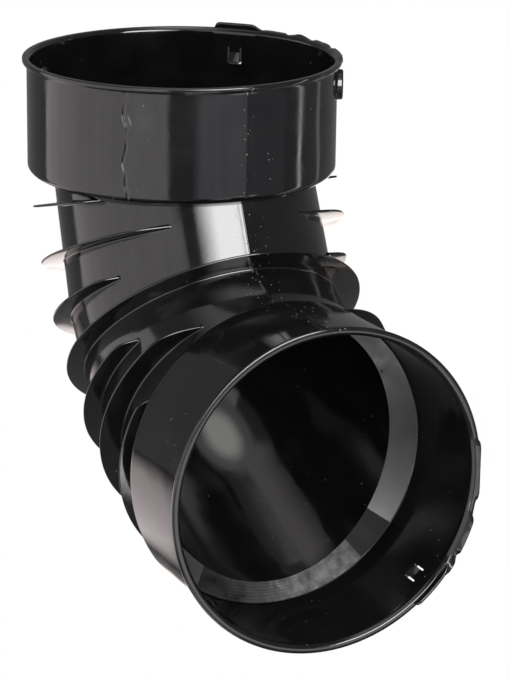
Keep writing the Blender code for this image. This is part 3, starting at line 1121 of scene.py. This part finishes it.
@dataclass(frozen=True)
class RimTab:
    """A low tab on each lip, above the clip on the right."""

    angle: float = math.radians(135.0)
    width: float = 28.0 * MM
    height: float = 3.4 * MM
    thickness: float = 2.4 * MM
    corner: float = 3.2 * MM
    ramp: float = 9.0 * MM  # the end towards the throat runs out in a ramp
    ramp_end: float = 0.4 * MM
    foot: float = 1.0 * MM
    edge_round: float = 0.5 * MM
    steps: int = 36

    def _top(self, along: float, length: float) -> float:
        """Height of the tab at a place along it.

        Args:
            along: Distance from the end of the ramp.
            length: The tab's whole length.

        Returns:
            Height above the lip.
        """
        if along < self.ramp:
            ease = 0.5 - 0.5 * math.cos(math.pi * along / self.ramp)
            return self.ramp_end + (self.height - self.ramp_end) * ease
        into_corner = max(self.corner - (length - along), 0.0)
        return self.height - self.corner + math.sqrt(max(self.corner ** 2 - into_corner ** 2, 0.0))

    def build(self, sizes: ElbowSizes) -> list[bpy.types.Object]:
        """Build the tab of each arm.

        Args:
            sizes: The elbow's sizes.

        Returns:
            The two tabs.
        """
        inner = sizes.mouth + sizes.lip_round
        outer = sizes.mouth + self.thickness
        low = self.angle - (0.5 * self.width + 0.5 * self.ramp) / inner
        length = self.width + 0.5 * self.ramp
        verts = []
        for i in range(self.steps + 1):
            along = length * i / self.steps
            angle = low + along / inner
            top = self._top(along, length)
            for r, z in ((inner, -self.foot), (inner, top), (outer, top), (outer, -self.foot)):
                verts.append((r * math.cos(angle), r * math.sin(angle), z))
        last = 4 * self.steps
        faces = ring_faces(self.steps + 1, 4) + [[0, 1, 2, 3], [last + 3, last + 2, last + 1, last]]
        made = []
        for arm in Arm:
            points = np.array(verts)
            points = to_outlet(points) if arm is Arm.OUTLET else points
            tab = object_from(f"rim_tab_{arm.value}", points, faces)
            round_edges(tab, self.edge_round, turn_from=50.0, sharp_from=40.0)
            made.append(tab)
        return made


@dataclass(frozen=True)
class Boss:
    """A round boss on the outside of the inlet socket, with a flared foot and a dished face."""

    angle: float = math.radians(62.0)
    radius: float = 9.0 * MM
    height: float = 3.4 * MM
    drop: float = 15.0 * MM
    dish: float = 0.6 * MM
    dish_edge: float = 2.5 * MM
    # Out from the boss's side, and out from its start in the wall
    foot: tuple[tuple[float, float], ...] = ((0.9 * MM, 0.9 * MM), (0.3 * MM, 1.5 * MM), (0.0, 2.2 * MM))
    # In from the boss's side, and back from its face
    rim: tuple[tuple[float, float], ...] = ((0.0, 0.9 * MM), (0.26 * MM, 0.3 * MM), (0.9 * MM, 0.0), (2.0 * MM, 0.0))
    columns: int = 72

    def build(self, sizes: ElbowSizes) -> bpy.types.Object:
        """Build the boss.

        Args:
            sizes: The elbow's sizes.

        Returns:
            The boss.
        """
        start = sizes.socket_outer - 0.5 * sizes.wall
        face = sizes.socket_outer + self.height
        profile = [(self.radius + wide, start + out) for wide, out in self.foot]
        profile += [(self.radius - inwards, face - back) for inwards, back in self.rim]
        profile.append((self.radius - self.dish_edge, face - self.dish))
        verts = []
        for radius, out in profile:
            for i in range(self.columns):
                a = math.tau * i / self.columns
                verts.append((out, radius * math.cos(a), -self.drop + radius * math.sin(a)))
        ends = (range(self.columns), range(len(verts) - self.columns, len(verts)))
        faces = ring_faces(len(profile), self.columns) + [list(end) for end in ends]
        boss = object_from("boss", round_socket(np.array(verts), self.angle, Arm.INLET), faces)
        soften(boss, sharp_from=50.0)
        return boss


@dataclass(frozen=True)
class GlossPolyethylene:
    """High density polyethylene, injection moulded against polished steel.

    A black pigment leaves almost no colour of its own, so the eye reads it by its reflections,
    which are sharp but bent by shrinkage waves, and dulled here and there by handling and dust.
    """

    name: str = "moulded_black_polyethylene"
    colour: str = "161617"
    haze_colour: str = "1d1d1e"
    dust_colour: str = "b9b7b2"
    ior: float = 1.52
    roughness: tuple[float, float] = (0.06, 0.16)
    haze: float = 22.0 * MM  # size of the hazy patches
    haze_range: tuple[float, float] = (0.42, 0.75)  # noise at which the haze starts and is full
    dull_range: tuple[float, float] = (0.35, 0.75)  # the same for the dullness
    wave: float = 34.0 * MM  # shrinkage waves across the wall
    wave_depth: float = 0.35 * MM
    ripple: float = 3.2 * MM  # fine orange peel, drawn coarser than it is so that it shows
    ripple_depth: float = 0.018 * MM
    speck: float = 2.2 * MM  # spacing of dust specks
    speck_size: tuple[float, float] = (0.10, 0.19)  # radius of its core and soft edge, in spacings
    speck_share: float = 0.04  # share of the places that hold a speck
    seam_share: float = 0.35  # how much the share grows beside the parting line
    seam_dust: tuple[float, float] = (3.2 * MM, 16.0 * MM)  # where that dust is full, and where it ends
    patch: float = 45.0 * MM  # size of the dusty patches
    patch_range: tuple[float, float] = (0.48, 0.62)  # noise at which a patch starts and is full
    clean_dust: float = 0.04  # strength of the specks outside them

    def _beside_seam(self, tree: bpy.types.ShaderNodeTree, place: bpy.types.NodeSocket) -> bpy.types.NodeSocket:
        """Nearness to the parting line on the throat side of the bend.

        Args:
            tree: The material's nodes.
            place: Position on the elbow.

        Returns:
            A share from 0 to 1.
        """
        sizes = ElbowSizes()
        full, end = self.seam_dust
        across = add_node(tree, "ShaderNodeSeparateXYZ", None, {"Vector": place})
        off_seam = add_node(tree, "ShaderNodeMath", {"operation": "ABSOLUTE"}, {0: across.outputs["Y"]})
        near = add_node(tree, "ShaderNodeMapRange", None, {
            "Value": off_seam.outputs[0], "From Min": full, "From Max": end, "To Min": 1.0, "To Max": 0.0})
        from_centre = add_node(tree, "ShaderNodeVectorMath", {"operation": "DISTANCE"}, {
            0: place, 1: sizes.bend_centre})
        throat = add_node(tree, "ShaderNodeMath", {"operation": "LESS_THAN"}, {
            0: from_centre.outputs["Value"], 1: sizes.bend_radius})
        beside = add_node(tree, "ShaderNodeMath", {"operation": "MULTIPLY"}, {
            0: near.outputs[0], 1: throat.outputs[0]})
        return beside.outputs[0]

    def _dust(self, tree: bpy.types.ShaderNodeTree, place: bpy.types.NodeSocket) -> bpy.types.NodeSocket:
        """Dust specks, most of them in patches and beside the parting line.

        Args:
            tree: The material's nodes.
            place: Position on the elbow.

        Returns:
            Cover by dust from 0 to 1.
        """
        specks = add_node(tree, "ShaderNodeTexVoronoi", {"feature": "F1"}, {
            "Vector": place, "Scale": 1.0 / self.speck})
        core, edge = self.speck_size
        near = add_node(tree, "ShaderNodeMapRange", None, {
            "Value": specks.outputs["Distance"], "From Min": core, "From Max": edge, "To Min": 1.0, "To Max": 0.0})
        pick = add_node(tree, "ShaderNodeSeparateColor", None, {"Color": specks.outputs["Color"]})
        patchy = add_node(tree, "ShaderNodeTexNoise", None, {
            "Vector": place, "Scale": 1.0 / self.patch, "Detail": 2.0})
        start, full = self.patch_range
        where = add_node(tree, "ShaderNodeMapRange", None, {
            "Value": patchy.outputs[0], "From Min": start, "From Max": full,
            "To Min": self.clean_dust, "To Max": 1.0})
        by_seam = self._beside_seam(tree, place)
        where = add_node(tree, "ShaderNodeMath", {"operation": "MAXIMUM"}, {0: where.outputs[0], 1: by_seam})
        likely = add_node(tree, "ShaderNodeMath", {"operation": "MULTIPLY_ADD"}, {
            0: by_seam, 1: self.seam_share, 2: pick.outputs[0]})
        chosen = add_node(tree, "ShaderNodeMath", {"operation": "GREATER_THAN"}, {
            0: likely.outputs[0], 1: 1.0 - self.speck_share})
        dust = add_node(tree, "ShaderNodeMath", {"operation": "MULTIPLY"}, {
            0: near.outputs[0], 1: chosen.outputs[0]})
        dust = add_node(tree, "ShaderNodeMath", {"operation": "MULTIPLY"}, {
            0: dust.outputs[0], 1: where.outputs[0]})
        return dust.outputs[0]

    def _relief(self, tree: bpy.types.ShaderNodeTree, place: bpy.types.NodeSocket) -> bpy.types.NodeSocket:
        """Shrinkage waves and orange peel.

        Args:
            tree: The material's nodes.
            place: Position on the elbow.

        Returns:
            The bent normal.
        """
        waves = add_node(tree, "ShaderNodeTexNoise", None, {
            "Vector": place, "Scale": 1.0 / self.wave, "Detail": 1.0, "Roughness": 0.4})
        ripple = add_node(tree, "ShaderNodeTexNoise", None, {
            "Vector": place, "Scale": 1.0 / self.ripple, "Detail": 2.0})
        bump = add_node(tree, "ShaderNodeBump", None, {
            "Height": waves.outputs[0], "Strength": 1.0, "Distance": self.wave_depth})
        bump = add_node(tree, "ShaderNodeBump", None, {
            "Height": ripple.outputs[0], "Strength": 1.0, "Distance": self.ripple_depth, "Normal": bump.outputs[0]})
        return bump.outputs[0]

    def build(self) -> bpy.types.Material:
        """Build the material.

        Returns:
            The material.
        """
        material, tree = empty_material(self.name)
        place = add_node(tree, "ShaderNodeTexCoord").outputs["Object"]
        haze = add_node(tree, "ShaderNodeTexNoise", None, {
            "Vector": place, "Scale": 1.0 / self.haze, "Detail": 5.0, "Roughness": 0.6})
        start, full = self.haze_range
        cloud = add_node(tree, "ShaderNodeMapRange", None, {
            "Value": haze.outputs[0], "From Min": start, "From Max": full, "To Min": 0.0, "To Max": 1.0})
        dust = self._dust(tree, place)
        base = add_node(tree, "ShaderNodeMix", {"data_type": "RGBA"}, {
            "Factor": cloud.outputs[0], MIX_A: linear(self.colour), MIX_B: linear(self.haze_colour)})
        dusty = add_node(tree, "ShaderNodeMix", {"data_type": "RGBA"}, {
            "Factor": dust, MIX_A: base.outputs[MIX_RESULT], MIX_B: linear(self.dust_colour)})
        start, full = self.dull_range
        rough = add_node(tree, "ShaderNodeMapRange", None, {
            "Value": haze.outputs[0], "From Min": start, "From Max": full,
            "To Min": self.roughness[0], "To Max": self.roughness[1]})
        rough = add_node(tree, "ShaderNodeMath", {"operation": "MAXIMUM"}, {0: rough.outputs[0], 1: dust})
        shader = add_node(tree, "ShaderNodeBsdfPrincipled", None, {
            "Base Color": dusty.outputs[MIX_RESULT], "Roughness": rough.outputs[0], "IOR": self.ior,
            "Normal": self._relief(tree, place)})
        add_node(tree, "ShaderNodeOutputMaterial", None, {"Surface": shader.outputs[0]})
        return material


@dataclass(frozen=True)
class TurnedSeat:
    """The same polyethylene where the mould was lathe turned.

    Fine circular marks and a matt grain spread the reflections, so it reads as a grey satin band.
    """

    name: str
    roughness: tuple[float, float]
    colour: str = "1d1d1e"
    ior: float = 1.52
    pitch: float = 1.6 * MM  # spacing of the turning marks, drawn coarser than they are
    depth: float = 0.006 * MM
    grain: float = 9.0 * MM
    grain_range: tuple[float, float] = (0.3, 0.7)  # noise at which it is smoothest and roughest
    grain_depth: float = 0.05 * MM
    specular: float = 0.5

    def build(self) -> bpy.types.Material:
        """Build the material.

        Returns:
            The material.
        """
        material, tree = empty_material(self.name)
        place = add_node(tree, "ShaderNodeTexCoord").outputs["Object"]
        split = add_node(tree, "ShaderNodeSeparateXYZ", None, {"Vector": place}).outputs
        known: dict[Any, Any] = {"x": split["X"], "y": split["Y"], "z": split["Z"]}
        # The marks run round the axis of the nearer socket
        for name, kind, *operands in (
                ("from outlet axis", "ADD", "z", ElbowSizes().reach),
                ("off inlet", "ABSOLUTE", "x"),
                ("off outlet", "ABSOLUTE", "from outlet axis"),
                ("nearer", "MINIMUM", "off inlet", "off outlet"),
                ("nearer squared", "POWER", "nearer", 2.0),
                ("y squared", "MULTIPLY", "y", "y"),
                ("distance squared", "ADD", "y squared", "nearer squared"),
                ("distance", "SQRT", "distance squared"),
                ("phase", "MULTIPLY", "distance", math.tau / self.pitch),
                ("marks", "SINE", "phase")):
            inputs = {i: known.get(operand, operand) for i, operand in enumerate(operands)}
            known[name] = add_node(tree, "ShaderNodeMath", {"operation": kind}, inputs).outputs[0]
        grain = add_node(tree, "ShaderNodeTexNoise", None, {
            "Vector": place, "Scale": 1.0 / self.grain, "Detail": 4.0})
        smooth, coarse = self.grain_range
        rough = add_node(tree, "ShaderNodeMapRange", None, {
            "Value": grain.outputs[0], "From Min": smooth, "From Max": coarse,
            "To Min": self.roughness[0], "To Max": self.roughness[1]})
        bump = add_node(tree, "ShaderNodeBump", None, {
            "Height": grain.outputs[0], "Strength": 1.0, "Distance": self.grain_depth})
        bump = add_node(tree, "ShaderNodeBump", None, {
            "Height": known["marks"], "Strength": 1.0, "Distance": self.depth, "Normal": bump.outputs[0]})
        shader = add_node(tree, "ShaderNodeBsdfPrincipled", None, {
            "Base Color": linear(self.colour), "Roughness": rough.outputs[0], "IOR": self.ior,
            "Specular IOR Level": self.specular, "Normal": bump.outputs[0]})
        add_node(tree, "ShaderNodeOutputMaterial", None, {"Surface": shader.outputs[0]})
        return material


def glowing_cloth(name: str, verts: list[Any], faces: list[list[int]], colours: list[float]) -> bpy.types.Object:
    """Make a sheet that glows by the colour of its points.

    Args:
        name: Name of the sheet.
        verts: Points in metres.
        faces: Point numbers of each face.
        colours: Red, green, blue and 1 for each point, in one row.

    Returns:
        The sheet.
    """
    mesh = bpy.data.meshes.new(name)
    mesh.from_pydata(verts, [], faces)
    glow = mesh.color_attributes.new("glow", "FLOAT_COLOR", "POINT")
    glow.data.foreach_set("color", colours)
    cloth = bpy.data.objects.new(name, mesh)
    bpy.context.scene.collection.objects.link(cloth)
    material, tree = empty_material(name)
    colour = add_node(tree, "ShaderNodeAttribute", {"attribute_name": "glow"}).outputs["Color"]
    shine = add_node(tree, "ShaderNodeEmission", None, {"Color": colour, "Strength": 1.0})
    add_node(tree, "ShaderNodeOutputMaterial", None, {"Surface": shine.outputs[0]})
    mesh.materials.append(material)
    return cloth


@dataclass(frozen=True)
class Panel:
    """A lit part of the studio tent, in degrees round the elbow, azimuth from +X to +Y."""

    azimuths: tuple[float, float]
    elevations: tuple[float, float]
    soft: float
    colour: str
    strength: float
    mottle: float = 0.0
    left_soft: float = 0.0  # softness of the edge at the low azimuth, where it differs
    # Two crossed waves: the turn of each for a degree, how far it wanders, and the turn of that
    CLOUD = ((0.42, 1.9, 0.31), (0.55, 2.1, 0.19))

    def light(self, azimuth: float, elevation: float) -> float:
        """Strength of the panel's light from one direction.

        Args:
            azimuth: In degrees.
            elevation: In degrees.

        Returns:
            The strength, with soft edges and a cloudy mottle.
        """
        (left, right), (bottom, top) = self.azimuths, self.elevations
        inside = 1.0
        for edge, soft in ((azimuth - left, self.left_soft or self.soft), (right - azimuth, self.soft),
                           (elevation - bottom, self.soft), (top - elevation, self.soft)):
            inside *= min(max(edge / soft + 0.5, 0.0), 1.0)
        level, upright = self.CLOUD
        cloud = (math.sin(level[0] * azimuth + level[1] * math.sin(level[2] * elevation))
                 * math.sin(upright[0] * elevation + upright[1] * math.sin(upright[2] * azimuth)))
        return self.strength * inside * (1.0 + self.mottle * cloud)


class Tent:
    """Dark cloth round the elbow with soft lit panels, which only reflections see."""

    CELL = 1.5
    RADIUS = 6.0
    DROP = 1.36  # how far the tent's flat floor lies below its centre
    CENTRE = (0.09, 0.0, -0.14)
    BASE = 0.2
    PANELS = (
        Panel((-143, -34), (-36, 29), 1.5, "fff9fa", 1.6, mottle=0.07),  # wide wall on the left
        Panel((-14, 25), (-28, 2), 9.0, "f3f5fe", 0.95, mottle=0.12),  # its dimmer end in front
        Panel((25, 60), (-28, 2), 6.0, "f4f6ff", 0.34),
        Panel((14, 34), (-27, -17), 3.0, "ffffff", 2.4),
        Panel((-12, 24), (2, 42), 3.0, "ffffff", 18.5, left_soft=22.0),  # main softbox
        Panel((-58, -35), (-8, -1), 3.0, "ffffff", 5.0),  # small ones that the fins' edges show
        Panel((-38, -13), (-6, 2), 3.0, "ffffff", 2.4),
        Panel((-70, 25), (42, 70), 6.0, "fffdfb", 1.5),  # ceiling, and its brighter top
        Panel((-200, 200), (68, 110), 4.0, "fffdfb", 0.9),
        Panel((-200, 200), (77, 110), 10.0, "fffdfb", 3.6),
        Panel((-180, -120), (58, 90), 16.0, "fff8f8", 0.95),
        Panel((72.5, 75.5), (-60, 10), 1.5, "fffaf6", 4.0),  # two tall strips on the right
        Panel((96, 99), (-60, 0), 1.5, "fff0e8", 1.3),
        Panel((-22, 8), (-56, -38), 5.0, "ffffff", 6.0),
        Panel((129, 168), (-41, -15), 3.0, "fff4f0", 1.9),  # white wall behind
    )

    def _glow(self, azimuth: float, elevation: float) -> tuple[float, float, float]:
        """Light that comes from one direction.

        Args:
            azimuth: In degrees.
            elevation: In degrees.

        Returns:
            Red, green and blue.
        """
        glow = [self.BASE] * 3
        for panel in self.PANELS:
            light = panel.light(azimuth, elevation)
            glow = [max(g, light * c) for g, c in zip(glow, linear(panel.colour))]
        return glow[0], glow[1], glow[2]

    def build(self) -> bpy.types.Object:
        """Build the tent.

        Returns:
            The tent.
        """
        across, down = round(360 / self.CELL), round(180 / self.CELL)
        verts, colours = [], []
        for j in range(down + 1):
            elevation = 90.0 - j * self.CELL
            rise, flat = math.sin(math.radians(elevation)), math.cos(math.radians(elevation))
            reach = min(self.RADIUS, self.DROP / -rise) if rise < 0.0 else self.RADIUS
            for i in range(across):
                azimuth = -180.0 + i * self.CELL
                turn = math.radians(azimuth)
                verts.append((reach * flat * math.cos(turn), reach * flat * math.sin(turn), reach * rise))
                colours.extend((*self._glow(azimuth, elevation), 1.0))
        places = (np.array(verts) + np.array(self.CENTRE)).tolist()
        return glowing_cloth("tent", places, ring_faces(down + 1, across), colours)


@dataclass(frozen=True)
class NearCard:
    """A soft edged card low on the left, close enough that only the outlet socket reflects it."""

    centre: tuple[float, float, float] = (-0.38, -0.24, -0.45)
    facing: tuple[float, float, float] = (0.9, 0.26, 0.37)
    width: float = 0.40
    height: float = 0.34
    colour: str = "fff2f3"
    strength: float = 1.6
    fade: float = 0.22  # share of the width and height over which an edge fades
    cells: int = 18

    def build(self) -> bpy.types.Object:
        """Build the card.

        Returns:
            The card.
        """
        out = Vector(self.facing).normalized()
        side = out.cross(Vector((0.0, 0.0, 1.0))).normalized()
        up = side.cross(out)
        verts, colours, faces = [], [], []
        for j in range(self.cells + 1):
            for i in range(self.cells + 1):
                u, v = i / self.cells, j / self.cells
                spot = Vector(self.centre) + side * (u - 0.5) * self.width + up * (v - 0.5) * self.height
                verts.append(tuple(spot))
                glow = min(min(u, 1.0 - u) / self.fade, 1.0) * min(min(v, 1.0 - v) / self.fade, 1.0)
                colours.extend((*(self.strength * glow * c for c in linear(self.colour)[:3]), 1.0))
        row = self.cells + 1
        for j in range(self.cells):
            for i in range(self.cells):
                k = j * row + i
                faces.append([k, k + 1, k + row + 1, k + row])
        return glowing_cloth("near_card", verts, faces, colours)


@dataclass(frozen=True)
class Studio:
    """Camera, surroundings, floor and the lit cloths that shape the reflections."""

    target: tuple[float, float, float] = (0.09845, 0.00284, -0.14678)
    azimuth: float = -25.2951
    elevation: float = 17.1933
    roll: float = 0.7475
    distance: float = 1.58784
    lens: float = 146.906
    sensor: float = 36.0
    clip_end: float = 50.0
    floor_drop: float = 1.3
    floor_half: float = 12.0
    paper: str = "f4f3f1"
    ambient: float = 0.8

    def camera(self) -> None:
        """Place the camera at the photograph's viewpoint."""
        a, e, w = (math.radians(v) for v in (self.azimuth, self.elevation, self.roll))
        back = Vector((math.cos(e) * math.cos(a), math.cos(e) * math.sin(a), math.sin(e)))
        right = Vector((-math.sin(a), math.cos(a), 0.0))
        up = back.cross(right)
        x_axis = right * math.cos(w) + up * math.sin(w)
        y_axis = up * math.cos(w) - right * math.sin(w)
        data = bpy.data.cameras.new("camera")
        data.lens = self.lens
        data.sensor_width = self.sensor
        data.sensor_fit = "AUTO"
        data.clip_end = self.clip_end
        camera = bpy.data.objects.new("camera", data)
        bpy.context.scene.collection.objects.link(camera)
        spot = Vector(self.target) + back * self.distance
        camera.matrix_world = Matrix.Translation(spot) @ Matrix((x_axis, y_axis, back)).transposed().to_4x4()
        bpy.context.scene.camera = camera

    def world(self) -> None:
        """Soft pale surroundings, white where the camera or a reflection sees them."""
        world = bpy.data.worlds.new("studio")
        bpy.context.scene.world = world
        world.use_nodes = True
        tree = world.node_tree
        tree.nodes.clear()
        path = add_node(tree, "ShaderNodeLightPath").outputs
        seen = add_node(tree, "ShaderNodeMath", {"operation": "MAXIMUM"}, {
            0: path["Is Camera Ray"], 1: path["Is Glossy Ray"]})
        seen = add_node(tree, "ShaderNodeMath", {"operation": "MAXIMUM"}, {
            0: seen.outputs[0], 1: path["Is Transmission Ray"]})
        soft = add_node(tree, "ShaderNodeBackground", None, {"Color": linear("ffffff"), "Strength": self.ambient})
        white = add_node(tree, "ShaderNodeBackground", None, {"Color": linear("ffffff"), "Strength": 1.0})
        mix = add_node(tree, "ShaderNodeMixShader", None, {
            0: seen.outputs[0], 1: soft.outputs[0], 2: white.outputs[0]})
        add_node(tree, "ShaderNodeOutputWorld", None, {"Surface": mix.outputs[0]})

    def floor(self) -> None:
        """A plain pale floor well below the elbow."""
        half = self.floor_half
        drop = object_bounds()[0][2] - self.floor_drop
        verts = np.array([(-half, -half, drop), (half, -half, drop), (half, half, drop), (-half, half, drop)])
        floor = object_from("floor", verts, [[0, 1, 2, 3]])
        material, tree = empty_material("pale_paper")
        path = add_node(tree, "ShaderNodeLightPath").outputs
        seen = add_node(tree, "ShaderNodeMath", {"operation": "MAXIMUM"}, {
            0: path["Is Camera Ray"], 1: path["Is Glossy Ray"]})
        paper = add_node(tree, "ShaderNodeBsdfDiffuse", None, {"Color": linear(self.paper)})
        white = add_node(tree, "ShaderNodeEmission", None, {"Color": linear("ffffff"), "Strength": 1.0})
        mix = add_node(tree, "ShaderNodeMixShader", None, {
            0: seen.outputs[0], 1: paper.outputs[0], 2: white.outputs[0]})
        add_node(tree, "ShaderNodeOutputMaterial", None, {"Surface": mix.outputs[0]})
        floor.data.materials.append(material)
        floor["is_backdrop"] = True

    def hide_from_camera(self, obj: bpy.types.Object) -> None:
        """Leave an object to reflections alone, and stage it.

        Args:
            obj: The object.
        """
        obj.visible_camera = False
        obj.visible_diffuse = False
        obj.visible_shadow = False
        obj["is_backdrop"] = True

    def build(self) -> None:
        """Set up everything round the elbow."""
        self.camera()
        self.world()
        self.floor()
        self.hide_from_camera(Tent().build())
        self.hide_from_camera(NearCard().build())
        bpy.context.scene.view_settings.view_transform = "Standard"


class Elbow:
    """The whole elbow: it builds the pieces, dresses them and hands them to the frame."""

    def __init__(self) -> None:
        """Set the sizes and the finishes, those of the moulding in the order of Skin."""
        self.sizes = ElbowSizes()
        self.gloss = GlossPolyethylene().build()
        self.finishes = (
            self.gloss,
            TurnedSeat("turned_black_polyethylene", (0.34, 0.5)).build(),
            # Painted shade: a darker, rougher and barely reflective copy of the turned finish, for one sector of the
            # seat
            TurnedSeat("painted_shade_black_polyethylene", (0.5, 0.6), "141415", specular=0.08).build(),
            TurnedSeat("streaked_black_polyethylene", (0.22, 0.6), "161617", depth=0.02 * MM,
                       grain_depth=0.35 * MM, specular=0.16).build(),
        )

    def _hand_over(self, piece: bpy.types.Object) -> None:
        """Let a piece ride on the body, in place of the CAD node.

        Args:
            piece: The finished piece.
        """
        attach(piece, BODY)
        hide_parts(NODE)
        LOG.info("%s: %d faces", piece.name, len(piece.data.polygons))

    def build(self) -> None:
        """Build every piece."""
        moulding = Moulding(self.sizes).build()
        for finish in self.finishes:
            moulding.data.materials.append(finish)
        clips = Clips()
        clips.cut(moulding, self.sizes)
        soften(moulding, Moulding.SHARP_FROM)
        small = [*clips.barbs(self.sizes), *RimTab().build(self.sizes), Boss().build(self.sizes)]
        for piece in small:
            piece.data.materials.append(self.gloss)
        fins = Fins(self.sizes).build(self.gloss)
        for piece in [moulding, *small, *fins]:
            self._hand_over(piece)


def main() -> None:
    """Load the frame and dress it."""
    logging.basicConfig(level=logging.INFO, format="%(name)s %(message)s")
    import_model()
    Elbow().build()
    Studio().build()


if __name__ == "__main__":
    main()
